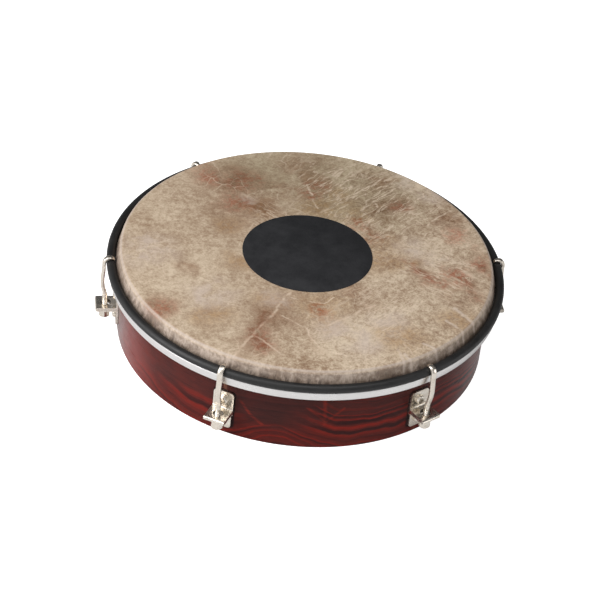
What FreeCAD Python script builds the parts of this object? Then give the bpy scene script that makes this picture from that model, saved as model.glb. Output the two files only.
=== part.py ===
import FreeCAD, Part
import math
import os

# A shallow hand drum: a thin skin is pulled over a round wooden shell by a rod hoop,
# and six claw hooks pull the hoop down against brackets on the shell.
# All sizes are millimetres. The drum stands on its open rim at z = 0, +Z up,
# and its axis is the Z axis. The first tuning set is on the +X side.

V = FreeCAD.Vector
UP = V(0, 0, 1)

# --- shell ---
shell_radius = 127.0
shell_wall = 7.5
shell_height = 63.5
edge_rounding = 2.5
edge_chamfer = 3.5
rim_ease = 0.8

# --- skin, dot and hoops ---
skin_thickness = 0.5
skin_gap = 0.05
skin_split_radius = 124.5
skirt_start_z = 60.5
collar_foot_radius = 129.0
collar_straight_z = 54.6
collar_foot_z = 48.8
dot_radius = 44.45
dot_thickness = 0.25
flesh_inner = 128.3
flesh_outer = 134.0
flesh_bottom = 45.8
flesh_top = 51.5
flesh_groove = 0.15
hoop_radius = 132.9
hoop_rod = 3.0
hoop_z = 54.55

# --- tuning sets ---
set_count = 6
set_angle = 60.0
rod_axis = 136.2
rod_radius = 2.0
rod_end_z = 12.0
rod_top_z = 27.0
claw_gap = 0.2
claw_top = 2.0
shank_thickness = 2.7
shank_width = 3.8
claw_sweep = 130.0
claw_tip_width = 2.0
shank_ease = 0.45
neck_step = 0.4

bracket_width = 14.3
tab_width = 12.4
sheet = 1.4
plate_back = 127.02
plate_top_z = 34.8
shelf_top_z = 21.5
shelf_bottom_z = 18.5
shelf_reach = 142.6
tab_bottom_z = 6.0
plate_corner = 2.5
tab_corner = 2.5
bend_radius = 1.2
shelf_hole_axis = 135.4
shelf_hole_radius = 3.5

tuning_nut_flats = 7.0
tuning_nut_height = 7.4
tuning_nut_gap = 0.05
thread_clearance = 0.06

screw_heights = (28.0, 12.6)
screw_radius = 1.95
screw_hole_radius = 2.05
screw_head_radius = 3.2
screw_head_height = 2.2
screw_tip = 114.8
cross_length = 3.4
cross_width = 0.8
cross_depth = 1.1
screw_nut_flats = 7.0
screw_nut_height = 3.2


def polygon_face(points):
    """A flat face in the XZ plane through (radius, height) points."""
    corners = [V(r, 0, z) for r, z in points]
    return Part.Face(Part.makePolygon(corners + corners[:1]))


def turned(points):
    """A ring turned round the drum's axis from (radius, height) points."""
    return polygon_face(points).revolve(V(0, 0, 0), UP, 360)


def arc_points(centre, radius, start, end, steps):
    """Points on an arc in (radius, height), angles in degrees."""
    found = []
    for i in range(steps + 1):
        a = math.radians(start + (end - start) * i / steps)
        found.append((centre[0] + radius * math.cos(a), centre[1] + radius * math.sin(a)))
    return found


def round_bar(radius, start, direction, length):
    return Part.makeCylinder(radius, length, start, direction)


def hex_prism(flats, height, base, direction, turn):
    """A six-sided bar. base is its centre, direction its axis."""
    corner = flats / 2 / math.cos(math.radians(30))
    points = []
    for i in range(6):
        a = math.radians(60 * i + turn)
        points.append(V(corner * math.cos(a), corner * math.sin(a), 0))
    face = Part.Face(Part.makePolygon(points + points[:1]))
    bar = face.extrude(V(0, 0, height))
    bar.Placement = FreeCAD.Placement(base, FreeCAD.Rotation(UP, direction))
    return bar


def around(shape, index):
    """A copy of a shape, turned to the tuning set with this number."""
    copy = shape.copy()
    copy.rotate(V(0, 0, 0), UP, set_angle * index)
    return copy


def one_solid(shape):
    """The single solid that a run of cuts leaves."""
    clean = shape.removeSplitter()
    return clean.Solids[0]


def shell():
    """The wooden shell, rounded over on the outside of its top edge."""
    inner = shell_radius - shell_wall
    top = shell_height
    ring = Part.makeCylinder(shell_radius, top).cut(Part.makeCylinder(inner, top))
    outer_edges = []
    lower_edges = []
    inner_edges = []
    for edge in ring.Edges:
        if not isinstance(edge.Curve, Part.Circle):
            continue
        height = edge.Curve.Center.z
        radius = edge.Curve.Radius
        if height > top - 0.1 and radius > shell_radius - 0.1:
            outer_edges.append(edge)
        if height > top - 0.1 and radius < inner + 0.1:
            inner_edges.append(edge)
        if height < 0.1:
            lower_edges.append(edge)
    ring = ring.makeFillet(edge_rounding, outer_edges)
    inner_edges = [e for e in ring.Edges if is_circle(e, inner, top)]
    ring = ring.makeChamfer(edge_chamfer, inner_edges)
    lower_edges = [e for e in ring.Edges if is_circle(e, inner, 0)]
    lower_edges += [e for e in ring.Edges if is_circle(e, shell_radius, 0)]
    ring = ring.makeFillet(rim_ease, lower_edges)
    for index in range(set_count):
        for height in screw_heights:
            start = V(inner - 5, 0, height)
            hole = round_bar(screw_hole_radius, start, V(1, 0, 0), shell_wall + 10)
            ring = ring.cut(around(hole, index))
    return one_solid(ring)


def is_circle(edge, radius, height):
    """True for a round edge of this radius at this height."""
    if not isinstance(edge.Curve, Part.Circle):
        return False
    same_radius = abs(edge.Curve.Radius - radius) < 0.05
    return same_radius and abs(edge.Curve.Center.z - height) < 0.05


def head_membrane():
    """The flat, played part of the skin, a disc that ends where the edge rounds over."""
    base = V(0, 0, shell_height + skin_gap)
    return Part.makeCylinder(skin_split_radius - 0.02, skin_thickness, base)


def head_collar():
    """The skin's turned edge and skirt, over the shell's edge and into the flesh hoop."""
    top = shell_height + skin_gap
    start = skin_split_radius
    centre = (shell_radius - edge_rounding, shell_height - edge_rounding)
    inner_arc = arc_points(centre, edge_rounding + skin_gap, 90, 0, 12)
    outer = edge_rounding + skin_gap + skin_thickness
    outer_arc = arc_points(centre, outer, 0, 90, 12)
    side_in = shell_radius + skin_gap
    foot_in = collar_foot_radius
    profile = inner_arc + [(side_in, skirt_start_z)]
    profile += [(foot_in, collar_straight_z), (foot_in, collar_foot_z)]
    profile += [(foot_in + skin_thickness, collar_foot_z)]
    profile += [(foot_in + skin_thickness, collar_straight_z)]
    profile += [(side_in + skin_thickness, skirt_start_z)] + outer_arc
    if abs(profile[0][0] - start) > 0.01 or abs(profile[0][1] - top) > 0.01:
        print("the turned edge doesn't start where the flat skin ends")
    return turned(profile)


def centre_dot():
    """The thin round patch on the middle of the skin."""
    base = V(0, 0, shell_height + skin_gap + skin_thickness)
    return Part.makeCylinder(dot_radius, dot_thickness, base)


def flesh_hoop():
    """The metal channel that grips the skin's edge, open at the top."""
    inner = collar_foot_radius - flesh_groove
    outer = collar_foot_radius + skin_thickness + flesh_groove
    floor = collar_foot_z - 0.1
    ease = 0.4
    profile = [(flesh_inner, flesh_bottom), (flesh_outer - ease, flesh_bottom)]
    profile += [(flesh_outer, flesh_bottom + ease), (flesh_outer, flesh_top - ease)]
    profile += [(flesh_outer - ease, flesh_top), (outer, flesh_top)]
    profile += [(outer, floor), (inner, floor), (inner, flesh_top)]
    profile += [(flesh_inner, flesh_top)]
    return turned(profile)


def counterhoop():
    """The round rod hoop that the claws pull down."""
    return Part.makeTorus(hoop_radius, hoop_rod, V(0, 0, hoop_z), UP)


def hook_outline():
    """Side view of the claw and shank, from the inner tip down to the neck."""
    centre = (hoop_radius, hoop_z)
    inner = hoop_rod + claw_gap
    outer = inner + claw_top
    side = inner + shank_thickness
    neck = rod_radius - neck_step
    under = [V(r, 0, z) for r, z in arc_points(centre, inner, claw_sweep, 0, 2)]
    over = [V(r, 0, z) for r, z in arc_points(centre, outer, claw_sweep - 14, 90, 2)]
    over += [V(r, 0, z) for r, z in arc_points(centre, outer + 0.15, 60, 60, 1)[:1]]
    over += [V(r, 0, z) for r, z in arc_points(centre, side - 0.3, 30, 30, 1)[:1]]
    shank_in = hoop_radius + inner
    inside = [under[-1], V(shank_in + 0.05, 0, hoop_z - 6), V(shank_in + 0.7, 0, 42.0)]
    inside += [V(shank_in + 0.4, 0, 35.5), V(rod_axis - neck, 0, rod_top_z + 1.5)]
    out = shank_thickness
    outside = over + [p + V(out, 0, 0) for p in inside[:4]]
    outside += [V(rod_axis + neck, 0, rod_top_z + 1.5)]
    tip = arc_points(centre, inner + 1.1, claw_sweep, claw_sweep, 1)[0]
    tip = V(tip[0], 0, tip[1])
    inner_curve = Part.BSplineCurve()
    inner_curve.interpolate(Points=inside, InitialTangent=-UP * 6, FinalTangent=-UP * 6)
    outer_curve = Part.BSplineCurve()
    outer_curve.interpolate(Points=outside)
    low = rod_top_z - 1.0
    foot_in = V(rod_axis - neck, 0, low)
    foot_out = V(rod_axis + neck, 0, low)
    edges = [Part.Arc(under[0], under[1], under[2]).toShape(), inner_curve.toShape()]
    edges += [Part.makeLine(inside[-1], foot_in), Part.makeLine(foot_in, foot_out)]
    edges += [Part.makeLine(foot_out, outside[-1]), outer_curve.toShape()]
    edges += [Part.makeLine(outside[0], tip), Part.makeLine(tip, under[0])]
    return Part.Face(Part.Wire(Part.__sortEdges__(edges)))


def tension_hook():
    """A flat claw over the hoop, a gently cranked shank and a threaded end."""
    face = hook_outline()
    face.translate(V(0, -shank_width / 2, 0))
    blank = face.extrude(V(0, shank_width, 0))
    long_edges = []
    for edge in blank.Edges:
        box = edge.BoundBox
        flat = box.YLength < 0.01
        curved = box.ZLength > 8 and box.XLength > 0.3
        if flat and curved:
            long_edges.append(edge)
    blank = blank.makeFillet(shank_ease, long_edges)
    for side in (1, -1):
        blank = blank.cut(tip_trim(side))
    rod_height = rod_top_z - rod_end_z
    rod = round_bar(rod_radius, V(rod_axis, 0, rod_end_z), UP, rod_height)
    end_edges = [e for e in rod.Edges if is_circle(e, rod_radius, rod_end_z)]
    rod = rod.makeChamfer(0.5, end_edges)
    shoulder = Part.makeCone(rod_radius, 1.5, 2.5, V(rod_axis, 0, rod_top_z), UP)
    return one_solid(blank.fuse(rod).fuse(shoulder))


def tip_trim(side):
    """A wedge that narrows the claw towards its inner tip."""
    half = shank_width / 2
    points = [V(hoop_radius - 0.5, side * half, 40)]
    points += [V(hoop_radius - 4.0, side * claw_tip_width / 2, 40)]
    points += [V(hoop_radius - 4.0, side * (half + 2), 40)]
    points += [V(hoop_radius - 0.5, side * (half + 2), 40)]
    face = Part.Face(Part.makePolygon(points + points[:1]))
    return face.extrude(V(0, 0, 40))


def tuning_nut():
    """The nut under the shelf that draws the hook down."""
    top = shelf_bottom_z - tuning_nut_gap
    base = V(rod_axis, 0, top - tuning_nut_height)
    nut = hex_prism(tuning_nut_flats, tuning_nut_height, base, UP, 30)
    corner = tuning_nut_flats / 2 / math.cos(math.radians(30))
    cone = Part.makeCone(corner - 0.45, corner + 0.55, 1.0, base, UP)
    body = Part.makeCylinder(corner + 0.55, tuning_nut_height - 1.0, base + V(0, 0, 1.0), UP)
    nut = nut.common(cone.fuse(body))
    bore = rod_radius + thread_clearance
    hole = round_bar(bore, base - V(0, 0, 1), UP, tuning_nut_height + 2)
    return one_solid(nut.cut(hole))


def lug_bracket():
    """One folded sheet: plate, double shelf and lower tab."""
    back = plate_back
    front = plate_back + sheet
    bend = bend_radius
    nose = (shelf_top_z - shelf_bottom_z) / 2
    nose_centre = (shelf_reach - nose, shelf_bottom_z + nose)
    upper_bend = (front + bend, shelf_top_z + bend)
    lower_bend = (front + bend, shelf_bottom_z - bend)
    slit = (shelf_top_z - shelf_bottom_z) - 2 * sheet
    upper = [(back, plate_top_z), (back, shelf_top_z + bend)]
    upper += arc_points(upper_bend, bend + sheet, 180, 270, 8)
    upper += [(shelf_reach - nose, shelf_top_z - sheet)]
    upper += [(shelf_reach - nose, shelf_bottom_z + sheet)]
    upper += arc_points(lower_bend, bend + sheet, 90, 180, 8)
    upper += [(back, tab_bottom_z), (front, tab_bottom_z)]
    upper += arc_points(lower_bend, bend, 180, 90, 8)
    upper += arc_points(nose_centre, nose, -90, 90, 12)
    upper += arc_points(upper_bend, bend, 270, 180, 8)
    upper += [(front, plate_top_z)]
    face = polygon_face(upper)
    face.translate(V(0, -bracket_width / 2, 0))
    body = face.extrude(V(0, bracket_width, 0))
    body = body.cut(side_trim(1)).cut(side_trim(-1))
    body = round_corners(body, plate_top_z, bracket_width / 2, plate_corner)
    body = round_corners(body, tab_bottom_z, tab_width / 2, tab_corner)
    hole_base = V(shelf_hole_axis, 0, shelf_bottom_z - 2)
    body = body.cut(round_bar(shelf_hole_radius, hole_base, UP, 8))
    for height in screw_heights:
        start = V(back - 2, 0, height)
        body = body.cut(round_bar(screw_hole_radius, start, V(1, 0, 0), 6))
    if slit < 0.05:
        print("the two shelf layers are too thick for the shelf")
    return one_solid(body)


def side_trim(side):
    """The strip cut from each side of the lower tab, which is narrower."""
    wide = (bracket_width - tab_width) / 2
    low = tab_bottom_z - 1
    high = shelf_bottom_z - bend_radius
    y = tab_width / 2 if side > 0 else -tab_width / 2 - wide - 1
    return Part.makeBox(6, wide + 1, high - low, V(plate_back - 2, y, low))


def round_corners(body, height, half_width, radius):
    """Round the two free corners of a plate where it ends at this height."""
    chosen = []
    for edge in body.Edges:
        box = edge.BoundBox
        along = box.XLength > sheet * 0.8 and box.YLength < 0.01 and box.ZLength < 0.01
        at_end = abs(box.ZMin - height) < 0.01
        at_side = abs(abs(box.YMin) - half_width) < 0.01
        if along and at_end and at_side:
            chosen.append(edge)
    return body.makeFillet(radius, chosen)


def bracket_screw(height):
    """A pan-head screw through the bracket and the shell, cross-slotted."""
    seat = plate_back + sheet + 0.02
    out = V(1, 0, 0)
    head = round_bar(screw_head_radius, V(seat, 0, height), out, screw_head_height)
    crown = []
    for edge in head.Edges:
        box = edge.BoundBox
        if box.XLength < 0.01 and box.XMin > seat + 1 and box.YLength > 1:
            crown.append(edge)
    head = head.makeFillet(1.2, crown)
    face_x = seat + screw_head_height - cross_depth
    for a, b in ((cross_length, cross_width), (cross_width, cross_length)):
        corner = V(face_x, -a / 2, height - b / 2)
        head = head.cut(Part.makeBox(cross_depth + 1, a, b, corner))
    shank = round_bar(screw_radius, V(screw_tip, 0, height), out, seat + 0.5 - screw_tip)
    return one_solid(head.fuse(shank))


def screw_nut(height):
    """A small nut on the inside of the shell."""
    face = shell_radius - shell_wall - 0.1
    base = V(face - screw_nut_height, 0, height)
    nut = hex_prism(screw_nut_flats, screw_nut_height, base, V(1, 0, 0), 30)
    bore = screw_radius + thread_clearance
    hole = round_bar(bore, base - V(1, 0, 0), V(1, 0, 0), screw_nut_height + 2)
    return one_solid(nut.cut(hole))


def many(make):
    """All copies of a fastener, two for each bracket, as one node."""
    copies = []
    for index in range(set_count):
        for height in screw_heights:
            copies.append(around(make(height), index))
    return Part.makeCompound(copies)


def save(name, shape):
    """Write one node and print its size as a check."""
    solids = shape.Solids
    closed = all(s.isValid() and s.isClosed() for s in solids)
    box = shape.BoundBox
    sizes = (box.XLength, box.YLength, box.ZLength)
    text = " x ".join("%.1f" % s for s in sizes)
    volume = shape.Volume / 1000
    print("%-18s solids %2d  %s mm  %.2f cm3  closed %s" % (name, len(solids), text, volume, closed))
    shape.exportStep("parts/%s.step" % name)


os.makedirs("parts", exist_ok=True)
save("shell", shell())
save("head_membrane", head_membrane())
save("head_collar", head_collar())
save("centre_dot", centre_dot())
save("flesh_hoop", flesh_hoop())
save("counterhoop", counterhoop())
hook = tension_hook()
nut = tuning_nut()
bracket = lug_bracket()
for number in range(set_count):
    save("tension_hook_%d" % (number + 1), around(hook, number))
    save("tuning_nut_%d" % (number + 1), around(nut, number))
    save("lug_bracket_%d" % (number + 1), around(bracket, number))
save("bracket_screws", many(bracket_screw))
save("screw_nuts", many(screw_nut))
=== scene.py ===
# %% [markdown]
# # A small tunable frame drum
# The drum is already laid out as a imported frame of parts: shell, skin, hoops, hooks, nuts and
# brackets, in metres, with the drum's axis on Z and its open rim at z = 0. We load that frame
# first and then dress it: each part either keeps its own shape and gets a finish, or is
# rebuilt here with finer shape and rides on the same body. Nothing is ever moved to fit.

# %% Loading the frame
import math

import bmesh
import bpy
from mathutils import Matrix, Quaternion, Vector


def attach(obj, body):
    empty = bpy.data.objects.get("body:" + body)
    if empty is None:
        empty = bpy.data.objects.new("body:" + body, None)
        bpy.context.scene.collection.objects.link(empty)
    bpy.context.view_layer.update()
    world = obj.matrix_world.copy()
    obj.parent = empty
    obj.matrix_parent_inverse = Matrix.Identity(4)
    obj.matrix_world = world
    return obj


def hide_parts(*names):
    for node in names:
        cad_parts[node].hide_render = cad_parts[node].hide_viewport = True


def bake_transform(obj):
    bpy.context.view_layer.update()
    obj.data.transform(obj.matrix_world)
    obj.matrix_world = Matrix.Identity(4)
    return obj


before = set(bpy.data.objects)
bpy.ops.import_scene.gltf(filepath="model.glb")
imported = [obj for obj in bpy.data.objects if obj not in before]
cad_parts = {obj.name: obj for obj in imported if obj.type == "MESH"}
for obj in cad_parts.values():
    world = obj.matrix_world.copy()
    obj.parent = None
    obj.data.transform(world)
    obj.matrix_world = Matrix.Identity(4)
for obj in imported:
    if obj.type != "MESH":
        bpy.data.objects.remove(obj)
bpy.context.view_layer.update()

MM = 0.001

# %% [markdown]
# ## The camera and the light
# We look down at the drum from a little over a third of a right angle, with a long lens so
# that the hoop stays a calm ellipse. The camera is rolled a few degrees, which lets the drum
# lean to the right in the picture. The floor is one large pale sheet, and the light comes from
# broad soft panels, because satin film and plated steel both need something wide to reflect.

# %% Camera
LENS = 119.92
SENSOR = 36.0
LENS_SHIFT = (-0.0043, -0.0128)
CAMERA_DISTANCE = 1.381
CAMERA_HEIGHT_ANGLE = math.radians(36.65)
CAMERA_SIDE_ANGLE = math.radians(-10.4)
CAMERA_ROLL = math.radians(6.48)
LOOK_AT = Vector((0, 0, 0.03))


def in_scene(name, data):
    """A new object in the scene."""
    thing = bpy.data.objects.new(name, data)
    bpy.context.scene.collection.objects.link(thing)
    return thing


away = Vector((0, -math.cos(CAMERA_HEIGHT_ANGLE), math.sin(CAMERA_HEIGHT_ANGLE)))
away.rotate(Quaternion((0, 0, 1), CAMERA_SIDE_ANGLE))
camera_data = bpy.data.cameras.new("camera")
camera_data.sensor_width = SENSOR
camera_data.lens = LENS
camera_data.shift_x, camera_data.shift_y = LENS_SHIFT
camera_data.clip_end = 50
camera = in_scene("camera", camera_data)
camera.location = LOOK_AT + away * CAMERA_DISTANCE
facing = away.to_track_quat("Z", "Y") @ Quaternion((0, 0, 1), CAMERA_ROLL)
camera.rotation_euler = facing.to_euler()
bpy.context.scene.camera = camera
print("lens", LENS, "mm, camera at", [round(c, 3) for c in camera.location])

# %% Helpers for node trees
def add(tree, kind, inputs=None, **settings):
    """Place one node, set its options, and give its inputs numbers or links."""
    node = tree.nodes.new(kind)
    for name, value in settings.items():
        setattr(node, name, value)
    for name, value in (inputs or {}).items():
        if isinstance(value, bpy.types.NodeSocket):
            tree.links.new(value, node.inputs[name])
        else:
            node.inputs[name].default_value = value
    return node


def calc(tree, operation, *values):
    """A Math node's result."""
    return add(tree, "ShaderNodeMath", dict(enumerate(values)), operation=operation).outputs[0]


def times(tree, one, two):
    """Two values or masks, multiplied."""
    return calc(tree, "MULTIPLY", one, two)


def vector_calc(tree, operation, *values):
    """A Vector Math node's result, which is a number for a length or a dot product."""
    node = add(tree, "ShaderNodeVectorMath", dict(enumerate(values)), operation=operation)
    single = operation in ("DISTANCE", "DOT_PRODUCT", "LENGTH")
    return node.outputs["Value" if single else "Vector"]


def scaled(tree, vector, amount):
    """A vector made longer or shorter."""
    return add(tree, "ShaderNodeVectorMath", {0: vector, "Scale": amount},
               operation="SCALE").outputs["Vector"]


def axes_of(tree, vector):
    """The three numbers in a vector."""
    return add(tree, "ShaderNodeSeparateXYZ", {"Vector": vector}).outputs[:]


def ramp(tree, value, low, high, start=0.0, end=1.0):
    """Value from low to high, turned smoothly into start to end."""
    inputs = {"Value": value, "From Min": low, "From Max": high, "To Min": start, "To Max": end}
    return add(tree, "ShaderNodeMapRange", inputs,
               interpolation_type="SMOOTHSTEP").outputs["Result"]


def rgb(red, green, blue):
    return (red, green, blue, 1.0)


def blend_colour(tree, factor, one, two, mode="MIX"):
    """Colour one, painted over with colour two as far as factor says."""
    return add(tree, "ShaderNodeMix", {0: factor, 6: one, 7: two}, data_type="RGBA",
               blend_type=mode).outputs[2]


def tint(tree, colour, mask, strength, paint, mode="MIX"):
    """A colour with a fixed second one laid on it where the mask is white."""
    if strength != 1:
        mask = times(tree, mask, strength)
    return blend_colour(tree, mask, colour, rgb(*paint), mode)


def stain(tree, colour, mask, strength, paint):
    """A colour darkened by a thin second one where the mask is white."""
    return tint(tree, colour, mask, strength, paint, "MULTIPLY")


def noise(tree, vector, scale, detail=3.0, rough=0.55, distort=0.0):
    """A cloudy value between 0 and 1."""
    inputs = {"Vector": vector, "Scale": scale, "Detail": detail}
    inputs.update({"Roughness": rough, "Distortion": distort})
    return add(tree, "ShaderNodeTexNoise", inputs).outputs["Fac"]


def stretched(tree, vector, scale, turn=0.0):
    """The same coordinates, turned about the upright axis and then stretched."""
    if turn:
        vector = add(tree, "ShaderNodeVectorRotate", {"Vector": vector, "Angle": turn},
                     rotation_type="Z_AXIS").outputs["Vector"]
    return vector_calc(tree, "MULTIPLY", vector, scale)


# %% Floor, world and lights
def as_mesh(name, work):
    """Turn a working mesh into a mesh, and free it."""
    mesh = bpy.data.meshes.new(name)
    work.to_mesh(mesh)
    work.free()
    return mesh


FLOOR_HALF_WIDTH, FLOOR_GREY, FLOOR_GLOW = 6.0, 0.8, 0.85


def stage_floor():
    """One large pale sheet under the drum."""
    sheet = bmesh.new()
    bmesh.ops.create_grid(sheet, x_segments=1, y_segments=1, size=FLOOR_HALF_WIDTH)
    mesh = as_mesh("floor", sheet)
    paint = bpy.data.materials.new("pale_floor")
    paint.use_nodes = True
    tree = paint.node_tree
    matt = tree.nodes["Principled BSDF"]
    matt.inputs["Base Color"].default_value = rgb(FLOOR_GREY, FLOOR_GREY, FLOOR_GREY)
    matt.inputs["Roughness"].default_value = 0.9
    matt.inputs["Specular IOR Level"].default_value = 0.0
    glow = add(tree, "ShaderNodeEmission", {"Strength": FLOOR_GLOW})
    both = add(tree, "ShaderNodeAddShader", {0: matt.outputs[0], 1: glow.outputs[0]})
    seen = add(tree, "ShaderNodeLightPath").outputs["Is Camera Ray"]
    pick = add(tree, "ShaderNodeMixShader", {0: seen, 1: matt.outputs[0], 2: both.outputs[0]})
    tree.links.new(pick.outputs[0], tree.nodes["Material Output"].inputs["Surface"])
    mesh.materials.append(paint)
    floor = in_scene("floor", mesh)


def soft_panel(name, place, aim, size, power):
    """A broad light that faces a point on the drum's axis."""
    data = bpy.data.lights.new(name, "AREA")
    data.shape = "RECTANGLE"
    data.size, data.size_y = size
    data.energy = power
    lamp = in_scene(name, data)
    lamp.location = place
    lamp.rotation_euler = (Vector(place) - Vector(aim)).to_track_quat("Z", "Y").to_euler()


stage_floor()
soft_panel("key", (-1.4, -0.5, 1.35), (0, 0, 0.05), (1.0, 1.0), 20)
soft_panel("overhead", (0.1, -0.5, 1.8), (0, 0, 0.05), (1.4, 1.0), 12)
soft_panel("left_low", (-1.6, -0.35, 0.4), (0, 0, 0.03), (1.0, 0.6), 11)
soft_panel("right_low", (1.6, -0.5, 0.4), (0, 0, 0.03), (0.7, 0.5), 4)

BRIGHT_SIDE = (-0.7, -0.7, 0.1)
world = bpy.data.worlds.new("studio")
world.use_nodes = True
sky = world.node_tree
sky_seen = add(sky, "ShaderNodeLightPath").outputs["Is Camera Ray"]
look_way = add(sky, "ShaderNodeTexCoord").outputs["Generated"]
facing_room = vector_calc(sky, "DOT_PRODUCT", look_way, BRIGHT_SIDE)
room_light = ramp(sky, facing_room, -0.5, 0.8, 0.1, 0.6)
sky_power = calc(sky, "MAXIMUM", sky_seen, room_light)
sky.nodes["Background"].inputs["Color"].default_value = rgb(1, 1, 1)
sky.links.new(sky_power, sky.nodes["Background"].inputs["Strength"])
bpy.context.scene.world = world
bpy.context.scene.view_settings.view_transform = "Standard"

# %% [markdown]
# ## Ways of making the pieces
# Nearly everything on a drum is either turned round its axis or repeated at the six tuning
# places. So there are two ways to make a piece: draw half of its section as one flat face,
# round that face's corners, and spin its outline; or build one tuning part at the first place
# and turn copies of it round to the other five.

# %% Helpers for pieces
def finish_mesh(name, work, sharp=35.0):
    """Turn a working mesh into a piece with clean, outward normals."""
    bmesh.ops.recalc_face_normals(work, faces=work.faces)
    mesh = as_mesh(name, work)
    mesh.polygons.foreach_set("use_smooth", [True] * len(mesh.polygons))
    mesh.set_sharp_from_angle(angle=math.radians(sharp))
    return mesh


def place_piece(name, mesh, paint, body, slot, *nodes):
    """Put a mesh in the scene, finish it, and let it ride on its body."""
    piece = in_scene(name, mesh)
    mesh.materials.clear()
    mesh.materials.append(paint)
    if body:
        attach(piece, body)
    if nodes:
        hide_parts(*nodes)
    return piece


def move(work, verts, *shift):
    """Move vertices by so many millimetres across, back and up."""
    bmesh.ops.translate(work, verts=verts, vec=Vector(shift) * MM)


def section(points, rounding=(), steps=4):
    """A flat face in the XZ plane from (radius, height) in millimetres.
    rounding names corners by number, each with its radius."""
    work = bmesh.new()
    corners = [work.verts.new((r * MM, 0, z * MM)) for r, z in points]
    work.faces.new(corners)
    for number, radius in rounding:
        bmesh.ops.bevel(work, geom=[corners[number]], offset=radius * MM, offset_type="OFFSET",
                        affect="VERTICES", segments=steps, profile=0.5, material=-1)
    return work


def spin_section(work, steps=288):
    """Spin the outline of a flat section round the drum's axis."""
    if work.faces:
        bmesh.ops.delete(work, geom=work.faces[:], context="FACES_ONLY")
    bmesh.ops.spin(work, geom=work.verts[:] + work.edges[:], cent=(0, 0, 0), axis=(0, 0, 1),
                   angle=math.tau, steps=steps, use_merge=True)
    bmesh.ops.remove_doubles(work, verts=work.verts[:], dist=1e-6)
    return work


SETS = 6


def turned_copy(mesh, index, name):
    """A copy of a mesh, turned to a tuning place."""
    copy = mesh.copy()
    copy.name = name
    copy.transform(Matrix.Rotation(math.tau * index / SETS, 4, "Z"))
    return copy


print("helpers ready for", SETS, "tuning places")

# %% [markdown]
# ## Shared effects
# Five effects turn up again and again: cloudy patches, thin wandering lines, the wear that
# gathers along edges, soft round spots and soft straight lines. Each is a node group that
# gives out only a mask, so every material can mix its own colours and roughness with it.

# %% Node groups
def new_group(name, inputs, vectors=("Vector",)):
    """An empty node group, the mask that it puts out, and the sockets that it is given."""
    tree = bpy.data.node_groups.new(name, "ShaderNodeTree")
    face = tree.interface
    for label in vectors:
        face.new_socket(label, in_out="INPUT", socket_type="NodeSocketVector")
    for label, value in inputs:
        socket = face.new_socket(label, in_out="INPUT", socket_type="NodeSocketFloat")
        socket.default_value = value
    face.new_socket("Mask", in_out="OUTPUT", socket_type="NodeSocketFloat")
    given = tree.nodes.new("NodeGroupInput").outputs[:len(vectors) + len(inputs)]
    return tree, tree.nodes.new("NodeGroupOutput").inputs["Mask"], given


def build_patches():
    """Cloudy patches: a broad cloud broken up by a finer one."""
    tree, mask, given = new_group("patches", (("Scale", 20.0), ("Low", 0.35), ("High", 0.65)))
    vector, scale, low, high = given
    broad = noise(tree, vector, scale, 5.0, 0.6, 0.4)
    small = noise(tree, vector, times(tree, scale, 4.3), 6.0, 0.65)
    both = calc(tree, "MULTIPLY_ADD", small, 0.35, times(tree, broad, 0.65))
    tree.links.new(ramp(tree, both, low, high), mask)
    return tree


def build_veins():
    """Thin wandering lines, which fade in and out along their length."""
    tree, mask, given = new_group("veins", (("Scale", 20.0), ("Width", 0.03), ("Wander", 0.02)))
    vector, scale, width, wander = given
    cloud = add(tree, "ShaderNodeTexNoise", {"Vector": vector, "Scale": 45.0})
    shift = vector_calc(tree, "SUBTRACT", cloud.outputs["Color"], (0.5, 0.5, 0.5))
    moved = vector_calc(tree, "ADD", vector, scaled(tree, shift, wander))
    cells = add(tree, "ShaderNodeTexVoronoi", {"Vector": moved, "Scale": scale},
                feature="DISTANCE_TO_EDGE")
    line = ramp(tree, cells.outputs["Distance"], 0.0, width, 1.0, 0.0)
    fade = ramp(tree, noise(tree, vector, 24.0, 3.0), 0.47, 0.68)
    tree.links.new(times(tree, line, fade), mask)
    return tree


def build_edge_wear():
    """A mask along the outer edges of a piece, broken up so that it looks rubbed."""
    tree, mask, given = new_group("edge_wear",
                                  (("Scale", 400.0), ("Low", 0.52), ("High", 0.6)))
    vector, scale, low, high = given
    crest = add(tree, "ShaderNodeNewGeometry").outputs["Pointiness"]
    edge = ramp(tree, crest, low, high)
    broken = ramp(tree, noise(tree, vector, scale, 4.0, 0.6), 0.35, 0.65)
    tree.links.new(times(tree, edge, broken), mask)
    return tree


def build_spot():
    """A soft round mark at a given place."""
    tree, mask, given = new_group("spot", (("Size", 0.02),), vectors=("Vector", "Centre"))
    vector, centre, size = given
    share = calc(tree, "DIVIDE", vector_calc(tree, "DISTANCE", vector, centre), size)
    tree.links.new(ramp(tree, share, 0.15, 1.0, 1.0, 0.0), mask)
    return tree


def build_line():
    """A thin soft line from one place to another."""
    tree, mask, given = new_group("line", (("Width", 0.001),), vectors=("Vector", "From", "To"))
    vector, start, end, width = given
    along = vector_calc(tree, "SUBTRACT", end, start)
    reach = vector_calc(tree, "SUBTRACT", vector, start)
    share = calc(tree, "DIVIDE", vector_calc(tree, "DOT_PRODUCT", reach, along),
                 vector_calc(tree, "DOT_PRODUCT", along, along))
    share.node.use_clamp = True
    gap = vector_calc(tree, "DISTANCE", reach, scaled(tree, along, share))
    tree.links.new(ramp(tree, calc(tree, "DIVIDE", gap, width), 0.0, 1.0, 1.0, 0.0), mask)
    return tree


PATCHES, VEINS, EDGE_WEAR = build_patches(), build_veins(), build_edge_wear()
SPOT, LINE = build_spot(), build_line()


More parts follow.
